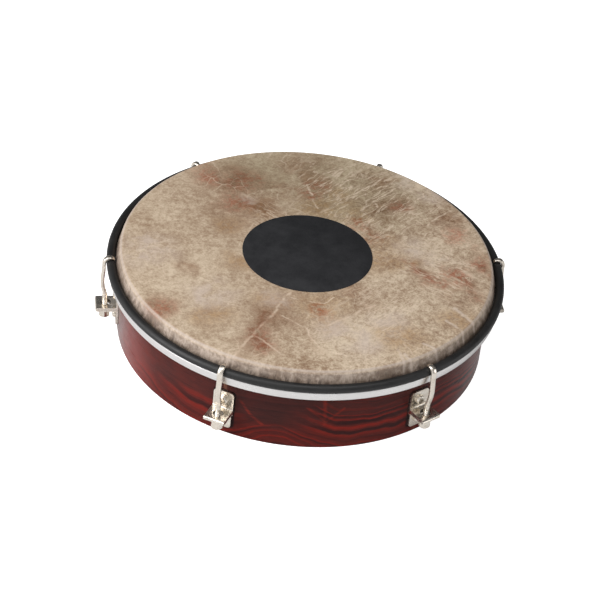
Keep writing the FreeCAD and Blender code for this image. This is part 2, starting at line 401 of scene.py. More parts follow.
def use_group(tree, group, vector, **values):
    """Place a group in a material with its own values and give back its mask."""
    node = tree.nodes.new("ShaderNodeGroup")
    node.node_tree = group
    tree.links.new(vector, node.inputs["Vector"])
    for name, value in values.items():
        node.inputs[name].default_value = value
    return node.outputs["Mask"]


def strongest(tree, masks):
    """The largest of several masks."""
    best = masks[0]
    for mask in masks[1:]:
        best = calc(tree, "MAXIMUM", best, mask)
    return best


def wobbled(tree, vector, scale, amount):
    """Coordinates pushed about by a cloud, so that marks laid on them get uneven edges."""
    cloud = add(tree, "ShaderNodeTexNoise", {"Vector": vector, "Scale": scale, "Detail": 4.0})
    push = vector_calc(tree, "SUBTRACT", cloud.outputs["Color"], (0.5, 0.5, 0.5))
    return vector_calc(tree, "ADD", vector, scaled(tree, push, amount))


def spots_at(tree, vector, spots):
    """One mask of soft round spots, each (across, back, size) in millimetres."""
    return strongest(tree, [use_group(tree, SPOT, vector, Centre=(x * MM, y * MM, 0),
                                      Size=size * MM) for x, y, size in spots])


def lines_at(tree, vector, lines, widen=1):
    """One mask of soft lines, each with its two ends and its width in millimetres."""
    masks = []
    for start, end, width in lines:
        start, end = ([c * MM for c in (*place, 0)[:3]] for place in (start, end))
        masks.append(use_group(tree, LINE, vector, From=start, To=end,
                               Width=widen * width * MM))
    return strongest(tree, masks)


def at_first_set(tree, place):
    """Coordinates turned back by whole sixths, so that all six tuning places share them."""
    sixth = math.tau / 6
    across, back, _ = axes_of(tree, place)
    share = calc(tree, "DIVIDE", calc(tree, "ARCTAN2", back, across), sixth)
    nearest = times(tree, calc(tree, "ROUND", share), -sixth)
    return add(tree, "ShaderNodeVectorRotate", {"Vector": place, "Angle": nearest},
               rotation_type="Z_AXIS").outputs["Vector"]


def start_material(name, metallic=0.0, specular=0.5):
    """A new material: its tree, its shader, and the coordinates of the object."""
    paint = bpy.data.materials.new(name)
    paint.use_nodes = True
    tree = paint.node_tree
    shader = tree.nodes["Principled BSDF"]
    shader.inputs["Metallic"].default_value = metallic
    shader.inputs["Specular IOR Level"].default_value = specular
    place = tree.nodes.new("ShaderNodeTexCoord").outputs["Object"]
    return paint, tree, shader, place


def bump(tree, shader, height, distance, strength=1.0):
    """Feed a height to the shader's normal."""
    node = add(tree, "ShaderNodeBump", {"Height": height, "Strength": strength})
    node.inputs["Distance"].default_value = distance
    tree.links.new(node.outputs["Normal"], shader.inputs["Normal"])


def feed(tree, shader, **values):
    """Link sockets to the shader's inputs, with _ for a space."""
    for name, socket in values.items():
        tree.links.new(socket, shader.inputs[name.replace("_", " ")])


print("effects", [group.name for group in (PATCHES, VEINS, EDGE_WEAR, SPOT, LINE)])


# %% [markdown]
# ## The skin
# The head is one thin sheet of film, printed and brushed to look like old parchment. It lies
# flat, rolls over the rounded top edge of the shell, and runs down and slightly outwards into
# the flesh hoop. It could be a flat disc with a separate skirt, but a single spun sheet keeps
# the fold over the edge smooth. Where the sheet is pressed into its round shape it gathers, so
# the skirt gets fine upright puckers.

# %% Skin shape
SKIN_TOP, SKIN_UNDER = 64.05, 63.55
SHELL_OUT = 127.0
PUCKERS = ((61, 0.4, 0.3), (97, 1.9, 0.26), (143, 4.1, 0.24), (211, 2.6, 0.2))
PUCKER_DEPTH, PUCKER_TOP, PUCKER_FOOT = 0.16, 62.0, 52.5
# the turned edge and skirt, from the top down: radius inside, radius outside, height
skirt_steps = ((127.1, 127.6, 60.5), (127.75, 128.25, 58.5), (128.4, 128.9, 56.5),
               (129.0, 129.5, 54.6), (129.0, 129.5, 51.6), (129.0, 129.5, 48.8))
skin_outline = [(0, SKIN_TOP), (SHELL_OUT + 0.55, SKIN_TOP)]
skin_outline += [(outer, z) for inner, outer, z in skirt_steps]
skin_outline += [(inner, z) for inner, outer, z in reversed(skirt_steps)]
skin_outline += [(SHELL_OUT + 0.05, SKIN_UNDER), (0, SKIN_UNDER)]
skin_work = section(skin_outline, [(1, 3.0), (14, 2.5)], steps=6)
spin_section(skin_work, steps=720)
for vert in skin_work.verts:
    height = vert.co.z / MM
    reach = max(0.0, min(1.0, (PUCKER_TOP - height) / 4.0))
    reach *= max(0.0, min(1.0, (height - PUCKER_FOOT) / 2.5))
    if reach > 0:
        angle = math.atan2(vert.co.y, vert.co.x)
        wave = sum(size * math.sin(count * angle + start) for count, start, size in PUCKERS)
        radial = Vector((vert.co.x, vert.co.y, 0)).normalized()
        vert.co += radial * wave * reach * PUCKER_DEPTH * MM
skin_mesh = finish_mesh("skin", skin_work, sharp=60)
print("skin faces", len(skin_mesh.polygons))

# %% [markdown]
# The print is layered like a real hide. A tan ground is broken up at four sizes, from broad
# clouds down to grit. On it lie brown, red and pale clouds, a network of pale veins, a few
# combed streaks and single strokes, partly at set places and partly scattered. The skirt is
# greyer, with dark upright streaks where the film gathers, and a few pale creases run over the
# turned edge. Marks at set places use coordinates that a cloud has pushed about, because that
# turns round spots and straight lines into torn, natural ones.

# %% Skin finish
# in millimetres from the middle of the head: spots are (across, back, size), strokes are two
# ends and a width, and streaks are the way that they run, in degrees, with their spots
BROWN = ((-46, 88, 40), (-32, 52, 40), (-8, 78, 36), (-104, -62, 18), (-35, -74, 26),
         (-44, -100, 20), (12, 100, 40), (60, 88, 26), (78, -24, 20), (102, -41, 26),
         (60, 56, 26), (106, 38, 18), (-84, -14, 14), (26, -44, 20))
RED = ((-37, 88, 24), (-26, 92, 10), (39, 33, 15), (47, 18, 12), (-103, -60, 18),
       (75, -21, 11), (82, -28, 11), (98, -23, 14), (17, 83, 13), (10, 72, 12), (109, 21, 14),
       (118, -14, 12), (-60, 96, 20), (-40, -98, 16), (0, -62, 14), (-44, 60, 20), (72, 56, 12))
WARM = ((14, 55, 24), (38, 45, 22), (53, 14, 20), (53, -12, 20), (0, -60, 28), (-30, -52, 18),
        (50, -92, 26), (-52, 30, 16), (-50, -12, 16), (30, 70, 22), (72, -12, 16),
        (-70, -70, 20), (92, -72, 20), (-30, 52, 18))
BRIGHT = ((92, 50, 26), (108, 30, 26), (98, 8, 26), (92, -32, 20), (74, 90, 22), (-90, -30, 26),
          (-72, -12, 22), (-90, 50, 18), (6, -108, 20))
PALE = ((-33, 66, 9), (74, 9, 20), (90, -6, 16), (84, 92, 24), (6, -82, 20), (24, -92, 24),
        (-108, 4, 30), (-70, -46, 26), (-30, -50, 16), (46, -76, 22), (98, 70, 18))
LINES = (((-17, -45), (-30, -66), 1.5), ((-30, -66), (-46, -90), 1.7),
         ((-46, -90), (-62, -114), 1.6), ((-46, -90), (-28, -110), 1.5),
         ((-24, -69), (-11, -84), 1.1), ((-11, -84), (-4, -105), 1.2), ((38, -58), (4, -80), 1.6),
         ((-18, -50), (4, -57), 0.9), ((20, 72), (46, 94), 1.2), ((88, 33), (108, 52), 1.2),
         ((34, 64), (66, 92), 1.1), ((44, 52), (78, 84), 1.1), ((70, 26), (100, 58), 1.0),
         ((4, -57), (12, -50), 1.0), ((-4, -105), (12, -112), 1.0), ((9, 82), (13, 54), 1.3),
         ((66, 45), (92, 70), 1.1))
CREASES = (((91, -62), (97, -70), 2.4), ((97, -70), (101.5, -76.5), 2.0),
           ((65, -99), (72.5, -106), 2.2), ((50, -109), (54.5, -117.5), 2.0),
           ((84, -74), (93, -87), 1.6), ((46, -104), (50, -119), 1.6))
STAINS = (((95, -16), (103, -32), 8), ((103, -32), (111, -49), 9), ((66, -8), (84, -30), 7),
          ((-34, -72), (-46, -90), 8), ((118, 6), (122, -22), 8))
STREAKS = ((41, ((62, 62, 100), (30, 88, 50), (40, -66, 50))),
           (-36, ((92, -18, 62), (-20, 40, 30))))
GREENER = ((35, 80, 95), (-20, 100, 50))


def streaks_at(tree, shaky, uneven, middle, degrees, spots):
    """Pale streaks that run one way, only near the given places."""
    way = stretched(tree, shaky, (34.0, 205.0, 1.0), math.radians(-degrees))
    cloud = noise(tree, way, 1.0, 3.0, 0.55, 0.7)
    crest = ramp(tree, calc(tree, "ABSOLUTE", calc(tree, "SUBTRACT", cloud, 0.5)),
                 0.0, 0.045, 1.0, 0.0)
    crest = times(tree, crest, spots_at(tree, uneven, spots))
    return times(tree, crest, ramp(tree, middle, 0.34, 0.54))


def head_colour(tree, place, shaky, uneven, middle, fine):
    """The print on the flat of the head: its ground, its clouds, and its lines."""
    broad = noise(tree, place, 13.0, 4.0, 0.6, 0.3)
    grit = noise(tree, place, 760.0, 3.0, 0.7)
    across, back, _ = axes_of(tree, place)
    busy = ramp(tree, calc(tree, "MULTIPLY_ADD", back, -0.35, across), -0.05, 0.05)
    tone = calc(tree, "MULTIPLY_ADD", broad, 0.3, times(tree, middle, 0.26))
    tone = calc(tree, "MULTIPLY_ADD", fine, 0.5, tone)
    tone = calc(tree, "MULTIPLY_ADD", grit, 0.42, tone)
    tone = calc(tree, "SUBTRACT", tone, 0.74)
    tone = times(tree, tone, ramp(tree, busy, 0.0, 1.0, 0.8, 1.12))
    tone = calc(tree, "MULTIPLY_ADD", spots_at(tree, uneven, BRIGHT), 0.06, tone)
    colour = blend_colour(tree, ramp(tree, tone, -0.19, 0.19), rgb(0.262, 0.166, 0.1),
                          rgb(0.635, 0.518, 0.384))

    # each cloud is a table of spots, and most are broken up by a noise
    greener = spots_at(tree, uneven, GREENER)
    colour = stain(tree, colour, greener, 0.85, (0.7, 0.725, 0.665))
    brown = times(tree, spots_at(tree, uneven, BROWN), ramp(tree, middle, 0.3, 0.62))
    colour = stain(tree, colour, brown, 1, (0.6, 0.49, 0.43))
    warm = times(tree, spots_at(tree, uneven, WARM), ramp(tree, fine, 0.3, 0.6))
    colour = stain(tree, colour, warm, 1, (0.74, 0.62, 0.49))
    pale = times(tree, spots_at(tree, uneven, PALE), ramp(tree, middle, 0.66, 0.36))
    colour = tint(tree, colour, pale, 0.55, (0.62, 0.52, 0.455))
    red = times(tree, spots_at(tree, uneven, RED), ramp(tree, fine, 0.36, 0.6))
    colour = stain(tree, colour, red, 1, (0.76, 0.48, 0.42))

    ridge = strongest(tree, [streaks_at(tree, shaky, uneven, middle, degrees, spots)
                             for degrees, spots in STREAKS])
    veins = use_group(tree, VEINS, shaky, Scale=30.0, Width=0.018, Wander=0.03)
    small_veins = use_group(tree, VEINS, stretched(tree, shaky, (1, 1, 1), 0.9),
                            Scale=85.0, Width=0.05, Wander=0.016)
    threads = use_group(tree, VEINS, stretched(tree, shaky, (1.3, 0.8, 1), -0.6),
                        Scale=120.0, Width=0.1, Wander=0.02)
    threads = times(tree, threads, ramp(tree, busy, 0.0, 1.0, 0.15, 0.75))
    colour = stain(tree, colour, threads, 1, (0.64, 0.54, 0.48))
    drawn = times(tree, lines_at(tree, shaky, LINES), ramp(tree, fine, 0.3, 0.55, 0.35, 1.0))
    vein = strongest(tree, [times(tree, ridge, 0.85), times(tree, veins, 0.5),
                            times(tree, small_veins, 0.6), drawn])
    colour = tint(tree, colour, vein, 0.72, (0.7, 0.57, 0.44))
    beside = times(tree, lines_at(tree, uneven, LINES[:8], widen=7),
                   ramp(tree, fine, 0.4, 0.6))
    colour = stain(tree, colour, beside, 0.5, (0.64, 0.52, 0.46))
    spilled = times(tree, lines_at(tree, uneven, STAINS), ramp(tree, fine, 0.38, 0.58, 0.0, 0.8))
    return stain(tree, colour, spilled, 1, (0.66, 0.46, 0.39))


def skin_finish():
    """The head's print, then the grey gathered skirt, the rolled edge and its creases."""
    paint, tree, shader, place = start_material("printed_film", specular=0.3)
    flat = vector_calc(tree, "MULTIPLY", place, (1, 1, 0))
    uneven = wobbled(tree, flat, 34.0, 0.03)
    shaky = wobbled(tree, flat, 90.0, 0.006)
    middle = noise(tree, uneven, 62.0, 5.0, 0.62)
    fine = noise(tree, place, 270.0, 5.0, 0.68)
    colour = head_colour(tree, place, shaky, uneven, middle, fine)

    height = axes_of(tree, place)[2]
    skirt = ramp(tree, height, 0.0608, 0.0637, 1.0, 0.0)
    low = ramp(tree, height, 0.056, 0.0612, 1.0, 0.0)
    upright = stretched(tree, place, (1.0, 1.0, 0.07))
    streaks = ramp(tree, noise(tree, upright, 300.0, 4.0, 0.62), 0.44, 0.64)
    hairs = ramp(tree, noise(tree, upright, 1000.0, 2.0, 0.6), 0.42, 0.64)
    gather = calc(tree, "MAXIMUM", streaks, times(tree, hairs, 0.55))
    grey = blend_colour(tree, ramp(tree, calc(tree, "ADD", fine, middle), 0.85, 1.15),
                        rgb(0.25, 0.195, 0.16), rgb(0.52, 0.43, 0.37))
    colour = blend_colour(tree, times(tree, skirt, 0.72), colour, grey)
    depth = calc(tree, "MULTIPLY_ADD", low, 0.6, times(tree, skirt, 0.15))
    colour = tint(tree, colour, times(tree, gather, depth), 1, (0.095, 0.07, 0.055))
    colour = stain(tree, colour, low, 0.45, (0.42, 0.37, 0.34))
    rolled = times(tree, ramp(tree, height, 0.0621, 0.0633), ramp(tree, height, 0.064, 0.0635))
    colour = tint(tree, colour, rolled, 0.6, (0.45, 0.38, 0.335))
    crease = lines_at(tree, shaky, CREASES)
    colour = tint(tree, colour, crease, 0.55, (0.64, 0.54, 0.46))

    relief = calc(tree, "MULTIPLY_ADD", fine, 0.6, times(tree, gather, low))
    bump(tree, shader, relief, 0.0001)
    feed(tree, shader, Base_Color=colour, Roughness=ramp(tree, middle, 0.3, 0.7, 0.44, 0.58))
    return paint


skin = place_piece("skin", skin_mesh, skin_finish(), None, "skin_film",
                   "head_membrane", "head_collar")
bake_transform(skin)
print("skin spans", [round(d, 4) for d in skin.dimensions])

# %% [markdown]
# ## The centre dot
# A second, thinner disc of film is stuck to the middle of the head. It damps the ring of the
# drum and takes the wear of the stick. Its edge is a plain knife cut, so a very small round is
# enough to catch the light, and its finish is dull with faint cloudy rub marks.

# %% Centre dot
def dot_finish():
    paint, tree, shader, place = start_material("dull_dark_film", specular=0.22)
    rub = use_group(tree, PATCHES, place, Scale=34.0, Low=0.38, High=0.68)
    speck = ramp(tree, noise(tree, place, 1500.0, 3.0, 0.7), 0.35, 0.75)
    colour = blend_colour(tree, times(tree, rub, 0.7), rgb(0.014, 0.0142, 0.016),
                          rgb(0.031, 0.0312, 0.034))
    colour = tint(tree, colour, speck, 0.15, (0.07, 0.07, 0.07))
    bump(tree, shader, speck, 0.00002)
    feed(tree, shader, Base_Color=colour, Roughness=ramp(tree, rub, 0.0, 1.0, 0.48, 0.57))
    return paint


DOT_RADIUS, DOT_TOP = 44.45, 64.3
DOT_BOTTOM = SKIN_TOP + 0.01
dot_outline = [(0, DOT_BOTTOM), (DOT_RADIUS, DOT_BOTTOM), (DOT_RADIUS, DOT_TOP), (0, DOT_TOP)]
dot_work = section(dot_outline, [(2, 0.1)], steps=2)
spin_section(dot_work, steps=192)
dot = place_piece("dark_dot", finish_mesh("dark_dot", dot_work), dot_finish(), "shell",
                  "dot_film", "centre_dot")
print("dot is", round(dot.dimensions.x / MM, 1), "mm across")

# %% [markdown]
# ## The two hoops
# The flesh hoop is a rolled aluminium channel that holds the rim of the skin; the counterhoop
# is a bent steel rod, painted black, which lies on it and takes the pull of the six claws. Both
# are turned shapes. Their finishes differ in grain: the channel is drawn lengthwise, so its
# fine lines run round the drum, and the paint on the rod is smooth with a few dull places.

# %% Hoops
def aluminium_finish():
    paint, tree, shader, place = start_material("drawn_aluminium", metallic=1.0)
    lines = noise(tree, stretched(tree, place, (14.0, 14.0, 2600.0)), 1.0, 3.0, 0.6)
    smudge = use_group(tree, PATCHES, place, Scale=30.0, Low=0.35, High=0.7)
    colour = blend_colour(tree, lines, rgb(0.72, 0.705, 0.7), rgb(0.86, 0.85, 0.84))
    colour = tint(tree, colour, smudge, 0.25, (0.62, 0.605, 0.6))
    bump(tree, shader, lines, 0.00002)
    feed(tree, shader, Base_Color=colour, Roughness=ramp(tree, smudge, 0.0, 1.0, 0.26, 0.42))
    return paint


def black_paint_finish():
    paint, tree, shader, place = start_material("satin_black_paint", specular=0.42)
    dull = use_group(tree, PATCHES, place, Scale=60.0, Low=0.35, High=0.65)
    dust = ramp(tree, noise(tree, place, 2200.0, 2.0, 0.6), 0.62, 0.78)
    colour = blend_colour(tree, dull, rgb(0.007, 0.0068, 0.007), rgb(0.013, 0.0125, 0.0125))
    colour = tint(tree, colour, dust, 0.25, (0.12, 0.12, 0.12))
    bump(tree, shader, noise(tree, place, 900.0, 2.0), 0.00003)
    feed(tree, shader, Base_Color=colour, Roughness=ramp(tree, dull, 0.0, 1.0, 0.44, 0.58))
    return paint


CHANNEL_IN, CHANNEL_OUT, CHANNEL_LOW, CHANNEL_TOP = 128.3, 134.0, 45.8, 51.5
GROOVE_IN, GROOVE_OUT, GROOVE_FLOOR = 128.85, 129.65, 48.7
HOOP_RADIUS, HOOP_Z, HOOP_ROD = 132.9, 54.55, 3.0
channel = [(CHANNEL_IN, CHANNEL_LOW), (CHANNEL_OUT, CHANNEL_LOW), (CHANNEL_OUT, CHANNEL_TOP),
           (GROOVE_OUT, CHANNEL_TOP), (GROOVE_OUT, GROOVE_FLOOR), (GROOVE_IN, GROOVE_FLOOR),
           (GROOVE_IN, CHANNEL_TOP), (CHANNEL_IN, CHANNEL_TOP)]
channel_work = section(channel, [(1, 0.5), (2, 0.5)], steps=3)
spin_section(channel_work)
silver_band = place_piece("silver_band", finish_mesh("silver_band", channel_work),
                          aluminium_finish(), "hoop", "bare_aluminium", "flesh_hoop")

rod_work = bmesh.new()
bmesh.ops.create_circle(rod_work, segments=24, radius=HOOP_ROD * MM)
bmesh.ops.rotate(rod_work, verts=rod_work.verts[:], matrix=Matrix.Rotation(math.pi / 2, 3, "X"))
move(rod_work, rod_work.verts[:], HOOP_RADIUS, 0, HOOP_Z)
spin_section(rod_work)
black_rod = place_piece("black_rod", finish_mesh("black_rod", rod_work), black_paint_finish(),
                        "hoop", "black_enamel", "counterhoop")
print("hoops are", round(silver_band.dimensions.x / MM, 1), "and",
      round(black_rod.dimensions.x / MM, 1), "mm across")

# %% [markdown]
# ## The shell
# The shell is thin veneer bent into a ring and glued in layers, stained dark red-brown and
# lacquered. Its outside top edge is rounded so that the skin can roll over it, the inside is
# cut back at a slant, and the open rim below is only eased. We turn the section, then cut the
# twelve screw holes with a Boolean modifier, because a hole is the one shape that spinning
# can't give. Grain runs round the ring, so its lines are stretched sideways and bent by a
# slow cloud, which gives the long arches of a sliced veneer. Round each bracket's plate the
# wood gets a thin dark line, part dirt and part painted shadow of the plate.

# %% Cutting holes
def carve(mesh, cutter_work):
    """Cut one mesh with another and give back the new mesh."""
    blank = in_scene("blank", mesh)
    bmesh.ops.recalc_face_normals(cutter_work, faces=cutter_work.faces)
    cutter = in_scene("cutter", as_mesh("cutter", cutter_work))
    cut = blank.modifiers.new("cut", "BOOLEAN")
    cut.operation, cut.solver, cut.object = "DIFFERENCE", "EXACT", cutter
    graph = bpy.context.evaluated_depsgraph_get()
    result = bpy.data.meshes.new_from_object(blank.evaluated_get(graph))
    result.name = mesh.name
    for thing in (blank, cutter):
        bpy.data.objects.remove(thing)
    return result


def rods(places, radius, length, segments=32):
    """A working mesh of round bars, each given by its middle and its direction."""
    work = bmesh.new()
    for middle, direction in places:
        turn = Vector(direction).to_track_quat("Z", "Y").to_matrix().to_4x4()
        place = Matrix.Translation(Vector(middle) * MM) @ turn
        bmesh.ops.create_cone(work, cap_ends=True, segments=segments, radius1=radius * MM,
                              radius2=radius * MM, depth=length * MM, matrix=place)
    return work


SHELL_IN, SHELL_TOP = 119.5, 63.5
SCREW_HOLE, SCREW_HEIGHTS = 2.05, (28.0, 12.6)
shell_outline = [(SHELL_IN, 0), (SHELL_OUT, 0), (SHELL_OUT, SHELL_TOP), (123.0, SHELL_TOP),
                 (SHELL_IN, 60.0)]
shell_work = section(shell_outline, [(0, 0.8), (1, 0.8), (2, 2.5)], steps=6)
spin_section(shell_work)
shell_mesh = finish_mesh("wooden_shell", shell_work)
holes = []
for number in range(SETS):
    out = Matrix.Rotation(math.tau * number / SETS, 3, "Z") @ Vector((1, 0, 0))
    holes += [(out * 123 + Vector((0, 0, height)), out) for height in SCREW_HEIGHTS]
shell_mesh = carve(shell_mesh, rods(holes, SCREW_HOLE, 20))
shell_mesh.set_sharp_from_angle(angle=math.radians(35))
print("shell faces", len(shell_mesh.polygons), "with", len(holes), "holes")

# %% Shell finish
# a forked mark in the veneer, in strokes of two ends and a width, in millimetres
FORK = (((-1.2, -127.0, 42), (0.4, -127.0, 20), 2.0),
        ((-12.3, -126.4, 34), (0.3, -127.0, 23), 1.6),
        ((-54.0, -114.9, 31), (-47.1, -117.9, 21), 1.8),
        ((-47.1, -117.9, 21), (-39.2, -120.8, 15), 1.8),
        ((12.0, -126.4, 33), (0.8, -127.0, 22), 1.4))


DIRT_AND_SHADOW_MIDDLE, DIRT_AND_SHADOW_HALF_WIDTH, DIRT_AND_SHADOW_HALF_HEIGHT = (0.127, 0, 0.0204), 0.0052, 0.0125


def veneer_line(tree, level, scale, detail):
    """A noise along one number, which draws the lines of the veneer."""
    return add(tree, "ShaderNodeTexNoise", {"W": level, "Scale": scale, "Detail": detail},
               noise_dimensions="1D").outputs["Fac"]


def veneer_figure(tree, place, axes):
    """The arched lines of the veneer, and how strongly they show from place to place."""
    arch = noise(tree, stretched(tree, place, (8.5, 8.5, 6.0)), 1.0, 1.0, 0.4)
    bend = noise(tree, stretched(tree, place, (24.0, 24.0, 16.0)), 1.0, 2.0, 0.5)
    ripple = noise(tree, stretched(tree, place, (90.0, 90.0, 120.0)), 1.0, 3.0, 0.5)
    level = calc(tree, "MULTIPLY_ADD", arch, 17.0, times(tree, axes[2], 215.0))
    level = calc(tree, "MULTIPLY_ADD", bend, 4.0, level)
    level = calc(tree, "MULTIPLY_ADD", ripple, 0.7, level)
    side = calc(tree, "MULTIPLY_ADD", axes[0], 0.8, times(tree, axes[1], -1.0))
    low_down = ramp(tree, calc(tree, "MULTIPLY_ADD", arch, -0.05, axes[2]), 0.003, -0.01)
    fade = strongest(tree, [times(tree, ramp(tree, bend, 0.5, 0.66), 0.6), low_down,
                            ramp(tree, axes[0], 0.055, 0.085, 0.0, 0.65)])
    fade = times(tree, fade, ramp(tree, side, -0.08, 0.06, 0.45, 1.0))
    fade = times(tree, fade, ramp(tree, veneer_line(tree, level, 0.27, 1.0),
                                  0.38, 0.58, 0.35, 1.0))
    return veneer_line(tree, level, 1.0, 2.0), fade, low_down, side


def dirt_and_shadow_line(tree, place):
    """A thin dark line round each plate, part dirt, part painted shadow; it fades inside the
    wood.
    """
    gap = vector_calc(tree, "SUBTRACT", at_first_set(tree, place), DIRT_AND_SHADOW_MIDDLE)
    deep, across, upward = axes_of(tree, vector_calc(tree, "ABSOLUTE", gap))
    across = calc(tree, "MAXIMUM", calc(tree, "SUBTRACT", across, DIRT_AND_SHADOW_HALF_WIDTH), 0.0)
    upward = calc(tree, "MAXIMUM", calc(tree, "SUBTRACT", upward, DIRT_AND_SHADOW_HALF_HEIGHT), 0.0)
    away = calc(tree, "SQRT", calc(tree, "MULTIPLY_ADD", across, across,
                                   times(tree, upward, upward)))
    return times(tree, ramp(tree, away, 0.0033, 0.0021), ramp(tree, deep, 0.004, 0.001))


def wood_finish():
    paint, tree, shader, place = start_material("stained_veneer", specular=0.08)
    bands, fade, low_down, side = veneer_figure(tree, place, axes_of(tree, place))
    streak = noise(tree, stretched(tree, place, (20.0, 20.0, 300.0)), 1.0, 4.0, 0.6)
    pores = noise(tree, stretched(tree, place, (80.0, 80.0, 1900.0)), 1.0, 2.0, 0.6)
    pore_mask = ramp(tree, pores, 0.56, 0.7)
    cloud = use_group(tree, PATCHES, place, Scale=15.0, Low=0.38, High=0.64)

    colour = blend_colour(tree, ramp(tree, streak, 0.35, 0.65), rgb(0.04, 0.012, 0.011),
                          rgb(0.06, 0.0155, 0.0135))
    redder = times(tree, cloud, ramp(tree, side, -0.08, 0.06, 0.55, 0.22))
    colour = tint(tree, colour, redder, 1, (0.165, 0.018, 0.011))
    colour = tint(tree, colour, low_down, 0.5, (0.135, 0.0105, 0.0065))
    # a brighter red patch on the left of the shell, where the light falls: painted light
    painted_light_patch = use_group(tree, SPOT, place, Centre=(-0.119, -0.044, 0.012), Size=0.04)
    colour = tint(tree, colour, painted_light_patch, 0.5, (0.25, 0.034, 0.026))
    fork = times(tree, lines_at(tree, place, FORK), ramp(tree, streak, 0.3, 0.6))
    colour = tint(tree, colour, fork, 1, (0.17, 0.019, 0.012))
    shade = times(tree, ramp(tree, bands, 0.36, 0.5, 1.0, 0.0), fade)
    colour = tint(tree, colour, shade, 0.9, (0.014, 0.005, 0.0055))
    crest = times(tree, ramp(tree, bands, 0.52, 0.6), fade)
    colour = tint(tree, colour, crest, 0.85, (0.22, 0.014, 0.008))
    colour = tint(tree, colour, pore_mask, 0.45, (0.014, 0.006, 0.006))

    # the glued layers show on the level rims only, and edges are rubbed paler
    radius = vector_calc(tree, "LENGTH", vector_calc(tree, "MULTIPLY", place, (1, 1, 0)))
    plies = ramp(tree, calc(tree, "SINE", times(tree, radius, 4200.0)), -0.4, 0.4)
    level = axes_of(tree, add(tree, "ShaderNodeNewGeometry").outputs["Normal"])[2]
    edge_on = times(tree, ramp(tree, calc(tree, "ABSOLUTE", level), 0.6, 0.95), 0.5)
    colour = tint(tree, colour, times(tree, edge_on, plies), 1, (0.13, 0.055, 0.035))
    worn = use_group(tree, EDGE_WEAR, place, Scale=260.0, Low=0.53, High=0.62)
    colour = tint(tree, colour, worn, 0.35, (0.3, 0.13, 0.08))
    # painted shadow of each plate on the wood, with some dirt: a thin dark line round it
    colour = tint(tree, colour, dirt_and_shadow_line(tree, place), 0.85, (0.006, 0.004, 0.004))

    # the lacquer shines only where it is seen at a slant
    glancing = add(tree, "ShaderNodeLayerWeight", {"Blend": 0.5}).outputs["Facing"]
    shader.inputs["Coat Roughness"].default_value = 0.25
    gloss = calc(tree, "MULTIPLY_ADD", pore_mask, 0.15, ramp(tree, cloud, 0.0, 1.0, 0.3, 0.42))
    height = calc(tree, "MULTIPLY_ADD", pore_mask, -0.5, times(tree, streak, 0.4))
    bump(tree, shader, height, 0.00006)
    feed(tree, shader, Base_Color=colour, Roughness=gloss,
         Coat_Weight=ramp(tree, glancing, 0.5, 0.98, 0.02, 1.0))
    return paint


place_piece("wooden_shell", shell_mesh, wood_finish(), "shell", "stained_wood", "shell")
print("wood nodes", len(bpy.data.materials["stained_veneer"].node_tree.nodes))

# %% [markdown]
# ## Nickel plate
# The brackets, hooks, nuts and screws are all plated steel. Plating is bright but never a
# perfect mirror: it has a warm tone, faint cloudiness from polishing and fine rubbed lines,
# and the wall of the hole that each hook goes through is painted dark, as painted shade.

# %% Nickel finish
SHELF_LOW, SHELF_HIGH, SHELF_REACH = 18.5, 21.5, 142.6
SHELF_HOLE, SHELF_HOLE_RADIUS = (135.4, 0, 20.0), 3.5


def hole_painted_shade(tree, place):
    """Painted shade: a mask on the wall of the hole in each bracket's shelf, and nowhere else."""
    flat = vector_calc(tree, "MULTIPLY", at_first_set(tree, place), (1, 1, 0))
    far = vector_calc(tree, "DISTANCE", flat, (SHELF_HOLE[0] * MM, 0, 0))
    height = axes_of(tree, place)[2]
    mask = times(tree, ramp(tree, far, 0.0026, 0.0031), ramp(tree, far, 0.0037, 0.0034))
    mask = times(tree, mask, ramp(tree, height, 0.02155, 0.0213))
    return times(tree, mask, ramp(tree, height, 0.0176, 0.0182))


def nickel_finish():
    paint, tree, shader, place = start_material("nickel_plating", metallic=1.0)
    cloud = use_group(tree, PATCHES, place, Scale=160.0, Low=0.35, High=0.68)
    rubbed = noise(tree, stretched(tree, place, (900.0, 900.0, 120.0)), 1.0, 3.0, 0.6)
    worn = use_group(tree, EDGE_WEAR, place, Scale=700.0, Low=0.52, High=0.62)
    colour = blend_colour(tree, cloud, rgb(0.83, 0.77, 0.685), rgb(0.7, 0.635, 0.55))
    colour = tint(tree, colour, worn, 0.5, (0.92, 0.89, 0.84))
    # the wall of each shelf hole is painted near-black, as painted shade in the hole
    colour = tint(tree, colour, hole_painted_shade(tree, place), 0.9, (0.03, 0.022, 0.016))
    bump(tree, shader, rubbed, 0.000003)
    feed(tree, shader, Base_Color=colour, Roughness=ramp(tree, cloud, 0.0, 1.0, 0.21, 0.34))
    return paint


nickel = nickel_finish()
print("nickel nodes", len(nickel.node_tree.nodes))

# %% [markdown]
# ## The brackets
# A bracket is one strip of sheet steel: it lies flat on the shell, folds out to a double
# shelf, and comes back to a narrower tab. So we draw the edge of the strip as a section,
# extrude it to the bracket's width, draw in the tab, round the free corners, and drill it. A
# thin slit, cut in from the wood's side, parts the two layers of the shelf.

# %% Bracket shape
PLATE_BACK, SHEET, BEND, CORNER = 127.02, 1.4, 1.2, 2.5
PLATE_TOP, TAB_BOTTOM = 34.8, 6.0
BRACKET_WIDTH, TAB_WIDTH, TAB_START, TAB_STEP = 14.3, 12.4, 17.2, 0.3
SHELF_ROUND = 1.45
SEAM, SEAM_HEIGHT, SEAM_STOP = 0.2, 20.0, 1.5
front = PLATE_BACK + SHEET
bracket_outline = [(PLATE_BACK, TAB_BOTTOM), (front, TAB_BOTTOM), (front, SHELF_LOW),
                   (SHELF_REACH, SHELF_LOW), (SHELF_REACH, SHELF_HIGH), (front, SHELF_HIGH),
                   (front, PLATE_TOP), (PLATE_BACK, PLATE_TOP)]


